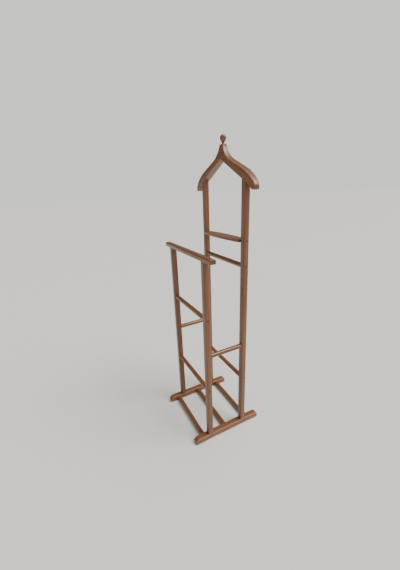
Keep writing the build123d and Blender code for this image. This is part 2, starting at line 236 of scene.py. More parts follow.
def sheet(name, centre, turn, across):
    """A flat rectangle, turned and then placed by its middle, in edit mode."""
    deselect()
    bpy.ops.mesh.primitive_plane_add(size=1, location=centre, rotation=turn)
    bpy.context.object.scale = (*across, 1)
    piece = new_piece(name)
    bpy.ops.object.mode_set(mode="EDIT")
    return piece


def pick(piece, kind, wanted):
    """Selects the vertices, edges or faces that pass a test, and counts them."""
    bpy.ops.mesh.select_mode(type=kind)
    bpy.ops.mesh.select_all(action="DESELECT")
    mesh = bmesh.from_edit_mesh(piece.data)
    mesh.normal_update()
    items = {"VERT": mesh.verts, "EDGE": mesh.edges, "FACE": mesh.faces}[kind]
    items.ensure_lookup_table()
    found = [item for item in items if wanted(item)]
    for item in found:
        item.select_set(True)
    mesh.select_flush_mode()
    bmesh.update_edit_mesh(piece.data)
    return len(found)


def pick_all_faces():
    """Selects the whole piece by its faces, for an extrusion."""
    bpy.ops.mesh.select_mode(type="FACE")
    bpy.ops.mesh.select_all(action="SELECT")


def face_outwards():
    """Turns every face of the piece outwards."""
    bpy.ops.mesh.select_all(action="SELECT")
    bpy.ops.mesh.normals_make_consistent(inside=False)


def near(a, b):
    """True for two lengths that are the same at the bench."""
    return abs(a - b) < 0.02 * MM


def stands_at(vertex, place):
    """True for a vertex at a place, within the same kind of slack."""
    return (vertex.co - place).length < 0.03 * MM


def runs(edge, axis):
    """True if an edge is parallel to an axis."""
    line = edge.verts[1].co - edge.verts[0].co
    return line.length > 0 and abs(line.normalized().dot(axis)) > 0.999


def midpoint(edge):
    """The middle of an edge."""
    return (edge.verts[0].co + edge.verts[1].co) / 2


def round_edges(width, segments):
    """Bevels the selected edges to a radius."""
    bpy.ops.mesh.bevel(offset=width, segments=segments, profile=0.5, affect="EDGES", clamp_overlap=True)


def round_across(piece, height, width, segments):
    """Rounds the edges that run along X at one height."""
    pick(piece, "EDGE", lambda e: runs(e, ALONG_X) and near(midpoint(e).z, height))
    round_edges(width, segments)


def round_outline(piece, axis, width, segments):
    """Rounds the edges round the flat faces that point along an axis."""

    def is_border(edge):
        facing = [abs(face.normal.dot(axis)) > 0.99 for face in edge.link_faces]
        return len(facing) == 2 and sum(facing) == 1

    pick(piece, "EDGE", is_border)
    round_edges(width, segments)


def cut(piece, point, normal, clear_outer=False, fill=False):
    """Cuts the whole piece with a plane."""
    bpy.ops.mesh.select_all(action="SELECT")
    bpy.ops.mesh.bisect(plane_co=point, plane_no=normal, use_fill=fill, clear_outer=clear_outer)


def turned(name, start, axis, stations, sides=48):
    """A turned piece: a disc drawn out from its start along an axis, sized at each (distance, radius)."""
    deselect()
    turn = ALONG_Z.rotation_difference(axis).to_euler()
    distance, radius = stations[0]
    at = Vector(start) + axis * distance
    bpy.ops.mesh.primitive_circle_add(
        vertices=sides, radius=radius, fill_type="NGON", location=at, rotation=turn
    )
    piece = new_piece(name)
    bpy.ops.object.mode_set(mode="EDIT")
    pick_all_faces()
    for next_distance, next_radius in stations[1:]:
        step = axis * (next_distance - distance)
        bpy.ops.mesh.extrude_region_move(TRANSFORM_OT_translate={"value": step})
        at = at + step
        ratio = next_radius / radius
        bpy.ops.transform.resize(value=(ratio, ratio, ratio), center_override=at)
        distance, radius = next_distance, next_radius
    return piece


def duplicate(piece):
    """A copy of a piece with its own mesh, selected and active."""
    take(piece)
    bpy.ops.object.duplicate()
    return bpy.context.object


def copies(piece, steps):
    """A piece and its copies, each moved away from it by its own step."""
    made = [piece]
    for step in steps:
        made.append(duplicate(piece))
        bpy.ops.transform.translate(value=step)
        bpy.ops.object.transform_apply(location=True, rotation=False, scale=False)
    return made


def join(made, name):
    """Joins pieces into the first of them."""
    take(made[0])
    for piece in made:
        piece.select_set(True)
    bpy.ops.object.join()
    label(made[0], name)
    return made[0]


def combine(piece, other, operation):
    """Cuts, joins or crosses a piece with another, which is used up."""
    take(piece)
    modifier = piece.modifiers.new("fit", "BOOLEAN")
    modifier.operation = operation
    modifier.solver = "EXACT"
    modifier.object = other
    bpy.ops.object.modifier_apply(modifier=modifier.name)
    bpy.data.objects.remove(other, do_unlink=True)


def curve_points(*curves):
    """Points along curves end to end, each curve given by its start, two handles, its end and its steps."""
    points = []
    for *controls, steps in curves:
        stretch = interpolate_bezier(*(Vector(control) for control in controls), steps + 1)
        points = points[:-1] + [Vector(point) for point in stretch]
    return points


def mark_rubbed_edges(piece):
    """Stores how sharply the surface turns at each vertex, from 0 on flats to 1 on small edges."""
    gentle, sharp = 90.0, 330.0  # per metre, as one over a turn's radius
    broad = 3.2 * MM  # a wider face is a flat
    shortest = 0.05 * MM
    mesh = bmesh.new()
    mesh.from_mesh(piece.data)
    mesh.normal_update()
    values = []
    for vertex in mesh.verts:
        turn = 0.0
        widths = [f.calc_area() / max(e.calc_length() for e in f.edges) for f in vertex.link_faces]
        if widths and max(widths) <= broad:
            for edge in vertex.link_edges:
                line = vertex.co - edge.other_vert(vertex).co
                if line.length > shortest:
                    turn = max(turn, 2 * vertex.normal.dot(line) / line.length_squared)
        values.append(min(max((turn - gentle) / (sharp - gentle), 0.0), 1.0))
    mesh.free()
    marks = piece.data.attributes.get("rubbed") or piece.data.attributes.new("rubbed", "FLOAT", "POINT")
    marks.data.foreach_set("value", values)


def finish_piece(piece, node, material, rubbed=True):
    """Closes a piece off: normals, shading, wear marks, material, body and the node that it stands for."""
    take(piece)
    bpy.ops.object.mode_set(mode="EDIT")
    bpy.ops.mesh.select_all(action="SELECT")
    bpy.ops.mesh.remove_doubles(threshold=0.002 * MM)
    face_outwards()
    bpy.ops.object.mode_set(mode="OBJECT")
    bpy.ops.object.shade_smooth_by_angle(angle=math.radians(32))
    if rubbed:
        mark_rubbed_edges(piece)
    piece.data.materials.clear()
    piece.data.materials.append(material)
    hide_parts(node)
    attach(piece, "root")


# ---------------------------------------------------------------- shader groups


def wire(tree, node, inputs):
    """Links or sets a node's inputs, given by name or number."""
    for key, value in inputs.items():
        if isinstance(value, bpy.types.NodeSocket):
            tree.links.new(value, node.inputs[key])
        else:
            node.inputs[key].default_value = value


def put(tree, kind, inputs=None, **settings):
    """Adds a node with its settings and its inputs."""
    node = tree.nodes.new(kind)
    for key, value in settings.items():
        setattr(node, key, value)
    wire(tree, node, inputs or {})
    return node


def maths(tree, operation, *values, clamp=False):
    """A Math node's result."""
    node = put(tree, "ShaderNodeMath", dict(enumerate(values)), operation=operation, use_clamp=clamp)
    return node.outputs[0]


def vector_maths(tree, operation, *values):
    """A Vector Math node's result, which is a number for a length or a dot product."""
    node = put(tree, "ShaderNodeVectorMath", dict(enumerate(values)), operation=operation)
    return node.outputs["Value" if operation in ("LENGTH", "DOT_PRODUCT") else "Vector"]


def ramp(tree, fac, *stops):
    """A grey ramp's result, from (position, grey) stops."""
    node = put(tree, "ShaderNodeValToRGB", {0: fac})
    elements = node.color_ramp.elements
    while len(elements) < len(stops):
        elements.new(0.5)
    for element, (position, grey) in zip(elements, stops):
        element.position = position
        element.color = (grey, grey, grey, 1)
    return node.outputs[0]


def noise(tree, vector, across, along, detail=2.0, roughness=0.5, distortion=0.0):
    """Noise from 0 to 1, with its waves per metre across the grain and along it, which is along Z."""
    scaled = vector_maths(tree, "MULTIPLY", vector, (across, across, along))
    inputs = {"Vector": scaled, "Scale": 1.0, "Detail": detail, "Roughness": roughness}
    return put(tree, "ShaderNodeTexNoise", {**inputs, "Distortion": distortion}).outputs["Fac"]


def mix_colour(tree, fac, first, second):
    """A mix of two colours, each a socket or three numbers."""
    first, second = (c if isinstance(c, bpy.types.NodeSocket) else (*c, 1) for c in (first, second))
    return put(tree, "ShaderNodeMix", {0: fac, 6: first, 7: second}, data_type="RGBA").outputs[2]


def bump(tree, height, strength, distance):
    """The normal of a surface with a relief."""
    inputs = {"Height": height, "Strength": strength, "Distance": distance}
    return put(tree, "ShaderNodeBump", inputs).outputs["Normal"]


def coordinates(tree, kind="Object"):
    """A piece's coordinates, or its normals."""
    return put(tree, "ShaderNodeTexCoord").outputs[kind]


def new_group(name, inputs, outputs):
    """An empty node group, its inputs given as (name, kind, default) and its outputs by name."""
    group = bpy.data.node_groups.new(name, "ShaderNodeTree")
    for socket_name, kind, default in inputs:
        socket = group.interface.new_socket(socket_name, in_out="INPUT", socket_type="NodeSocket" + kind)
        if default is not None:
            socket.default_value = default
    for socket_name in outputs:
        group.interface.new_socket(socket_name, in_out="OUTPUT", socket_type="NodeSocketFloat")
    return group, group.nodes.new("NodeGroupInput").outputs, group.nodes.new("NodeGroupOutput")


def timber_group():
    """Growth rings, fibres and pores of a solid board whose grain runs along Z."""
    if "timber" in bpy.data.node_groups:
        return bpy.data.node_groups["timber"]
    tree, given, result = new_group(
        "timber",
        [("Vector", "Vector", None), ("Ring Spacing", "Float", 0.003), ("Waviness", "Float", 0.006)],
        ["Rings", "Fibres", "Pores", "Patches", "Height"],
    )
    vector = given["Vector"]
    radius = vector_maths(tree, "LENGTH", vector_maths(tree, "MULTIPLY", vector, (1, 1, 0)))
    drift = maths(tree, "SUBTRACT", noise(tree, vector, 22, 2.6), 0.5)
    shifted = maths(tree, "MULTIPLY_ADD", drift, given["Waviness"], radius)
    ripple = maths(tree, "MULTIPLY", noise(tree, vector, 160, 9), 0.55)
    phase = maths(tree, "ADD", maths(tree, "DIVIDE", shifted, given["Ring Spacing"]), ripple)
    rings = ramp(tree, maths(tree, "FRACT", phase), (0.0, 0.05), (0.55, 0.35), (0.86, 1.0), (1.0, 0.05))
    fibres = noise(tree, vector, 1100, 16, 4, 0.62)
    vessels = noise(tree, vector, 2300, 95, 1, 0.5)
    pores = ramp(tree, vessels, (0.0, 0.0), (0.635, 0.0), (0.70, 1.0))
    patches = noise(tree, vector, 95, 4.5, 3, 0.6, 0.3)
    relief = maths(tree, "MULTIPLY_ADD", rings, -0.25, maths(tree, "MULTIPLY", fibres, 0.7))
    height = maths(tree, "MULTIPLY_ADD", pores, -0.8, relief)
    wood = {"Rings": rings, "Fibres": fibres, "Pores": pores, "Patches": patches, "Height": height}
    wire(tree, result, wood)
    return tree


def rubbed_group():
    """A mask of the places where an edge is rubbed, broken up so that no edge is worn evenly."""
    if "rubbed_edges" in bpy.data.node_groups:
        return bpy.data.node_groups["rubbed_edges"]
    tree, given, result = new_group(
        "rubbed_edges", [("Vector", "Vector", None), ("Amount", "Float", 0.5)], ["Mask"]
    )
    marks = put(tree, "ShaderNodeAttribute", attribute_name="rubbed").outputs["Fac"]
    breakup = noise(tree, given["Vector"], 150, 24, 4, 0.65)
    worn = maths(tree, "MULTIPLY", marks, given["Amount"])
    edge = maths(tree, "SUBTRACT", maths(tree, "ADD", worn, breakup), 0.86)
    mask = maths(tree, "MULTIPLY", edge, maths(tree, "MULTIPLY", marks, 4.0), clamp=True)
    wire(tree, result, {"Mask": mask})
    return tree


def varnish_group():
    """How a wiped varnish varies: its sheen, its cover and its fine orange peel."""
    if "wiped_varnish" in bpy.data.node_groups:
        return bpy.data.node_groups["wiped_varnish"]
    masks = [("Pores", "Float", 0.0), ("Rubbed", "Float", 0.0)]
    tree, given, result = new_group(
        "wiped_varnish",
        [("Vector", "Vector", None), *masks, ("Sheen", "Float", 0.46)],
        ["Roughness", "Cover", "Peel"],
    )
    smears = maths(tree, "SUBTRACT", noise(tree, given["Vector"], 60, 14, 3, 0.6), 0.5)
    base = maths(tree, "MULTIPLY_ADD", smears, 0.22, given["Sheen"])
    dull = maths(tree, "MULTIPLY_ADD", given["Rubbed"], 0.16, base)
    rough = maths(tree, "MULTIPLY_ADD", given["Pores"], 0.15, dull, clamp=True)
    bare = maths(tree, "MULTIPLY_ADD", given["Rubbed"], -0.15, 0.65)
    cover = maths(tree, "MULTIPLY_ADD", given["Pores"], -0.15, bare, clamp=True)
    peel = noise(tree, given["Vector"], 420, 300)
    wire(tree, result, {"Roughness": rough, "Cover": cover, "Peel": peel})
    return tree


# ---------------------------------------------------------------- materials


def shader(name):
    """A material with its node tree and its shader."""
    material = bpy.data.materials.new(name)
    material.use_nodes = True
    tree = material.node_tree
    return material, tree, tree.nodes["Principled BSDF"]


def grain_place(tree, grain, centre, board):
    """
    Object coordinates turned so that the grain runs along Z, with the tree's pith beside the piece.
    Each board leans a little and comes from its own place in the tree.
    """
    turn = grain.rotation_difference(ALONG_Z).to_euler()
    lean = 0.012 + 0.006 * (board % 3)
    turn = (Euler((lean, -lean * 0.7, 0)).to_matrix() @ turn.to_matrix()).to_euler()
    angle = 2.4 * board
    distance = 0.034 + 0.011 * (board % 4)
    pith = Vector((distance * math.cos(angle), distance * math.sin(angle), 0.37 * board))
    place = pith - turn.to_matrix() @ centre
    inputs = {"Vector": coordinates(tree), "Location": place, "Rotation": turn}
    return put(tree, "ShaderNodeMapping", inputs).outputs["Vector"]


def stained_wood(name, grain, centre, board, tone=0.5, red=0.5, rub=0.5, spacing=0.0030):
    """
    Stained and varnished wood for one board, given by its grain's direction, its middle and its own
    number. A higher tone is paler. red and rub are how much reddish stain and wear it has, and
    spacing is the distance between its growth rings.
    """
    look = finish()
    material, tree, surface = shader(name)
    vector = grain_place(tree, grain, centre, board)
    inputs = {"Vector": vector, "Ring Spacing": spacing}
    timber = put(tree, "ShaderNodeGroup", inputs, node_tree=timber_group()).outputs
    inputs = {"Vector": vector, "Amount": rub}
    worn = put(tree, "ShaderNodeGroup", inputs, node_tree=rubbed_group()).outputs["Mask"]
    inputs = {"Vector": vector, "Pores": timber["Pores"], "Rubbed": worn}
    varnish = put(tree, "ShaderNodeGroup", inputs, node_tree=varnish_group()).outputs

    grain_tone = maths(tree, "MULTIPLY_ADD", timber["Rings"], 0.42, 0.62 - tone)
    grain_tone = maths(tree, "MULTIPLY_ADD", timber["Fibres"], 0.55, grain_tone)
    grain_tone = maths(tree, "MULTIPLY_ADD", timber["Patches"], 0.55, grain_tone)
    depth = maths(tree, "SUBTRACT", grain_tone, 0.52, clamp=True)
    wood = mix_colour(tree, depth, look.light_wood, look.dark_wood)
    flush = ramp(tree, timber["Patches"], (0.42, 0.0), (0.68, 1.0))
    wood = mix_colour(tree, maths(tree, "MULTIPLY", flush, red), wood, look.red_tint)
    facing = maths(tree, "ABSOLUTE", vector_maths(tree, "DOT_PRODUCT", coordinates(tree, "Normal"), grain))
    wood = mix_colour(tree, ramp(tree, facing, (0.72, 0.0), (0.97, 0.55)), wood, look.pore)
    wood = mix_colour(tree, maths(tree, "MULTIPLY", timber["Pores"], 0.6), wood, look.pore)
    wood = mix_colour(tree, maths(tree, "MULTIPLY", worn, 0.5), wood, look.bare_wood)
    height = maths(tree, "MULTIPLY_ADD", varnish["Peel"], 0.35, timber["Height"])
    finished = {
        "Base Color": wood,
        "Roughness": varnish["Roughness"],
        "Specular IOR Level": 0.35,
        "Coat Weight": varnish["Cover"],
        "Coat Roughness": 0.27,
        "Coat IOR": 1.5,
        "Normal": bump(tree, height, 0.30, 0.09 * MM),
    }
    wire(tree, surface, finished)
    return material


def zinc_steel():
    """Bright zinc-plated steel for the screws and the stud."""
    if "zinc_steel" in bpy.data.materials:
        return bpy.data.materials["zinc_steel"]
    material, tree, surface = shader("zinc_steel")
    spangle = noise(tree, coordinates(tree), 900, 900, 3, 0.6)
    finished = {
        "Base Color": mix_colour(tree, spangle, finish().steel, finish().dull_steel),
        "Metallic": 1.0,
        "Roughness": maths(tree, "MULTIPLY_ADD", spangle, 0.25, 0.24),
        "Normal": bump(tree, spangle, 0.15, 0.1 * MM),
    }
    wire(tree, surface, finished)
    return material


def studio_floor():
    """Pale matt paper for the floor."""
    material, tree, surface = shader("studio_floor")
    mottle = noise(tree, coordinates(tree), 3, 3, 3, 0.6)
    pale = finish().floor
    shade = [channel * 0.985 for channel in pale]
    wire(tree, surface, {"Base Color": mix_colour(tree, mottle, pale, shade), "Roughness": 0.85})
    return material


# ---------------------------------------------------------------- pieces


class VALET_OT_posts(Operator):
    """Square posts with rounded edges, the rear ones cut to the slope of the hanger"""

    bl_idname = "valet.posts"
    bl_label = "Posts"

    def execute(self, context):
        for board, (node, tone) in enumerate(POST_TONES.items()):
            low, high = corners(node)
            piece = block(node + "_wood", low, high)
            if pick(piece, "EDGE", lambda e: runs(e, ALONG_Z)) != 4:
                raise RuntimeError("a post has four long edges")
            round_edges(sizes().post_corner, 7)
            top, slope = high, ALONG_Z
            if "rear" in node:
                x = middle(node).x
                angle = math.copysign(sizes().arm_slope, x)
                top = Vector((x, rear_y(), underside_z(abs(x))))
                slope = Vector((math.sin(angle), 0, math.cos(angle)))
                cut(piece, top, slope, clear_outer=True, fill=True)
            # A cut near each end keeps the end's wear from spreading along the post.
            end_band = ALONG_Z * 4 * MM
            cut(piece, top - end_band, slope)
            cut(piece, low + end_band, ALONG_Z)
            round_outline(piece, ALONG_Z, sizes().joint_chamfer, 2)
            wood = stained_wood(node + "_wood", ALONG_Z, middle(node), board, tone, red=0.55)
            finish_piece(piece, node, wood)
        return {"FINISHED"}


class VALET_OT_feet(Operator):
    """Feet with rounded noses, arched below between two pads, with counterbored screw holes"""

    bl_idname = "valet.feet"
    bl_label = "Feet"

    def execute(self, context):
        for board, side_name in enumerate(SIDES, start=5):
            node = "foot_" + side_name
            piece = self.carve(node)
            self.bore(piece, side_name)
            wood = stained_wood(node + "_wood", ALONG_Y, middle(node), board, tone=0.60, red=0.30, rub=0.7)
            finish_piece(piece, node, wood)
        return {"FINISHED"}

    def carve(self, node):
        """The foot without its holes."""
        given = sizes()
        low, high = corners(node)
        centre_y = middle(node).y
        slack = 0.1 * MM
        piece = block(node + "_wood", low, high)
        round_across(piece, high.z, given.nose_top, 12)
        round_across(piece, low.z, given.nose_bottom, 6)
        pad = (high.y - low.y) / 2 - given.foot_pad
        arch = pad - given.foot_ramp
        for y in (-pad, -arch, arch, pad):
            cut(piece, (0, centre_y + y, 0), ALONG_Y)
        pick(piece, "VERT", lambda v: near(v.co.z, low.z) and abs(v.co.y - centre_y) < arch + slack)
        bpy.ops.transform.translate(value=(0, 0, given.foot_relief))

        def is_bend(edge):
            """True at the two ends of each slope."""
            y = abs(midpoint(edge).y - centre_y)
            below = midpoint(edge).z < low.z + given.foot_relief + slack
            return runs(edge, ALONG_X) and below and (near(y, pad) or near(y, arch))

        pick(piece, "EDGE", is_bend)
        round_edges(given.foot_bend, 5)
        round_outline(piece, ALONG_X, given.foot_edge, 6)
        return piece

    def bore(self, piece, side_name):
        """Counterbores for the heads of the foot screws, drilled from just below the floor."""
        radius = sizes().counterbore / 2
        stations = [(-2 * MM, radius), (sizes().counterbore_depth, radius)]
        for place in ("front", "rear"):
            post = middle(f"post_{place}_{side_name}")
            drill = turned("drill", (post.x, post.y, 0), ALONG_Z, stations, sides=32)
            face_outwards()
            combine(piece, drill, "DIFFERENCE")


def rung_stations(half_length, socket, radius):
    """A rung from end to end, with a bead of varnish where it enters each socket."""
    bead = sizes().bead
    half = [
        (-half_length, radius - 0.4 * MM),
        (-half_length + 0.6 * MM, radius),
        (-socket - 0.2 * MM, radius),
        (-socket, radius + bead),
        (-socket + 0.5 * MM, radius + 0.9 * bead),
        (-socket + 1.2 * MM, radius + 0.3 * bead),
        (-socket + 2.2 * MM, radius),
    ]
    shaft = [(socket * (-0.9 + 0.2 * step), radius) for step in range(10)]
    return half + shaft + [(-distance, r) for distance, r in reversed(half)]


def make_rung(node, axis, socket, board, tone, red):
    """A round rung, with its sockets at a distance from its middle."""
    half_length = size_of(node).dot(axis) / 2
    stations = rung_stations(half_length, socket, size_of(node).z / 2)
    piece = turned(node + "_wood", middle(node), axis, stations)
    wood = stained_wood(node + "_wood", axis, middle(node), board, tone, red, rub=0.4)
    finish_piece(piece, node, wood)


class VALET_OT_rungs(Operator):
    """Round rungs across the stand and along its sides, with a bead of varnish at each joint"""

    bl_idname = "valet.rungs"
    bl_label = "Rungs"

    def execute(self, context):
        rungs = [(node, ALONG_X, inner_x()) for node in CROSS_RUNGS]
        for side_name in SIDES:
            front = corners("post_front_" + side_name)[1].y
            rear = corners("post_rear_" + side_name)[0].y
            rungs.append(("side_rung_" + side_name, ALONG_Y, (rear - front) / 2))
        for board, (node, axis, socket) in enumerate(rungs, start=8):
            tone = 0.64 + 0.05 * math.sin(1.7 * board)
            make_rung(node, axis, socket, board, tone, red=0.4)
        return {"FINISHED"}


class VALET_OT_shoe_bars(Operator):
    """Three round bars between the feet, for shoes"""

    bl_idname = "valet.shoe_bars"
    bl_label = "Shoe bars"

    def execute(self, context):
        socket = corners("foot_right")[0].x
        for board, node in enumerate(SHOE_BARS, start=15):
            make_rung(node, ALONG_X, socket, board, tone=0.6, red=0.25)
        return {"FINISHED"}


class VALET_OT_trouser_bar(Operator):
    """The wide bar on the front posts, rounder above than below"""

    bl_idname = "valet.trouser_bar"
    bl_label = "Trouser bar"

    def execute(self, context):
        given = sizes()
        low, high = corners("trouser_bar")
        piece = block("trouser_bar_wood", low, high)
        round_across(piece, high.z, given.bar_top, 9)
        round_across(piece, low.z, given.bar_bottom, 5)
        round_outline(piece, ALONG_X, given.bar_end, 5)
        wood = stained_wood("trouser_bar_wood", ALONG_X, (low + high) / 2, 18, tone=0.56, red=0.3, rub=0.6)
        finish_piece(piece, "trouser_bar", wood)
        return {"FINISHED"}


class VALET_OT_shelf(Operator):
    """The bowed slat between the rear posts"""

    bl_idname = "valet.shelf"
    bl_label = "Shelf"

    def execute(self, context):
        given = sizes()
        centre, across = middle("accessory_shelf"), size_of("accessory_shelf")
        in_socket = 0.4 * MM
        reach = inner_x() + in_socket
        half_end = given.shelf_end / 2
        bow = across.y / 2 - half_end
        steps = 20
        start = (-reach, centre.y, centre.z)
        piece = sheet("accessory_shelf_wood", start, (0, math.pi / 2, 0), (across.z, given.shelf_end))
        pick_all_faces()
        x, half_width = -reach, half_end
        for step in range(1, steps + 1):
            next_x = reach * (2 * step / steps - 1)
            next_half = half_end + bow * (1 - (next_x / reach) ** 2)
            bpy.ops.mesh.extrude_region_move(TRANSFORM_OT_translate={"value": (next_x - x, 0, 0)})
            bpy.ops.transform.resize(
                value=(1, next_half / half_width, 1), center_override=(next_x, centre.y, centre.z)
            )
            x, half_width = next_x, next_half
        face_outwards()
        round_outline(piece, ALONG_Z, given.shelf_edge, 5)
        wood = stained_wood("accessory_shelf_wood", ALONG_X, centre, 19, tone=0.60, red=0.3, rub=0.7)
        finish_piece(piece, "accessory_shelf", wood)
        return {"FINISHED"}


def arm_outline():
    """The right arm from the front: points along its upper outline, and those below them."""
    given = sizes()
    low, high = corners("hanger_arm_right")
    post_x = middle("post_rear_right").x
    slope = Vector((math.cos(given.arm_slope), -math.sin(given.arm_slope)))
    top = Vector((given.neck_width / 2, high.z))
    flare_x = 2.1 * given.neck_width
    flare = Vector((flare_x, underside_z(flare_x) + given.flare_depth))
    shoulder = Vector((post_x, underside_z(post_x) + given.shoulder_depth))
    tip = Vector((high.x, low.z + 9 * MM))
    under_tip = Vector((high.x - 7 * MM, low.z + 0.2 * MM))
    outer = curve_points(
        (top, top + Vector((0.5, -16)) * MM, flare - slope * 19 * MM, flare, 9),
        (flare, flare + slope * 30 * MM, shoulder - slope * 32 * MM, shoulder, 7),
        (shoulder, shoulder + slope * 27 * MM, tip + Vector((0, 20)) * MM, tip, 8),
        (tip, tip - Vector((0, 4)) * MM, under_tip + Vector((4, 0)) * MM, under_tip, 4),
    )
    neck_steps = 6
    arm_steps = len(outer) - 1 - neck_steps
    straight_steps = round(arm_steps * 0.62)
    notch = Vector((0, notch_z()))
    droop_x = post_x + 0.35 * (high.x - post_x)
    droop = Vector((droop_x, underside_z(droop_x)))
    heel = under_tip - Vector((6, -0.8)) * MM
    neck = [Vector((0, high.z)).lerp(notch, step / neck_steps) for step in range(neck_steps)]
    straight = [notch.lerp(droop, step / straight_steps) for step in range(straight_steps)]
    drooping = curve_points(
        (droop, droop + slope * 12 * MM, heel - slope * 10 * MM, heel, arm_steps - straight_steps)
    )
    return outer, neck + straight + drooping


def hanger_thickness(x, z):
    """Front to back of the hanger at a point of its outline."""
    given = sizes()
    high = corners("hanger_arm_right")[1]
    post_x = middle("post_rear_right").x
    if x < post_x:
        part = x / post_x
        along = given.neck_base + (given.shoulder_thickness - given.neck_base) * part * (2 - part)
    else:
        part = (x - post_x) / (high.x - post_x)
        along = given.shoulder_thickness + (given.tip_thickness - given.shoulder_thickness) * part**1.6
    fall = (high.z - z) / given.neck_taper
    up = given.neck_thickness + (given.shoulder_thickness - given.neck_thickness) * fall
    return min(along, up)


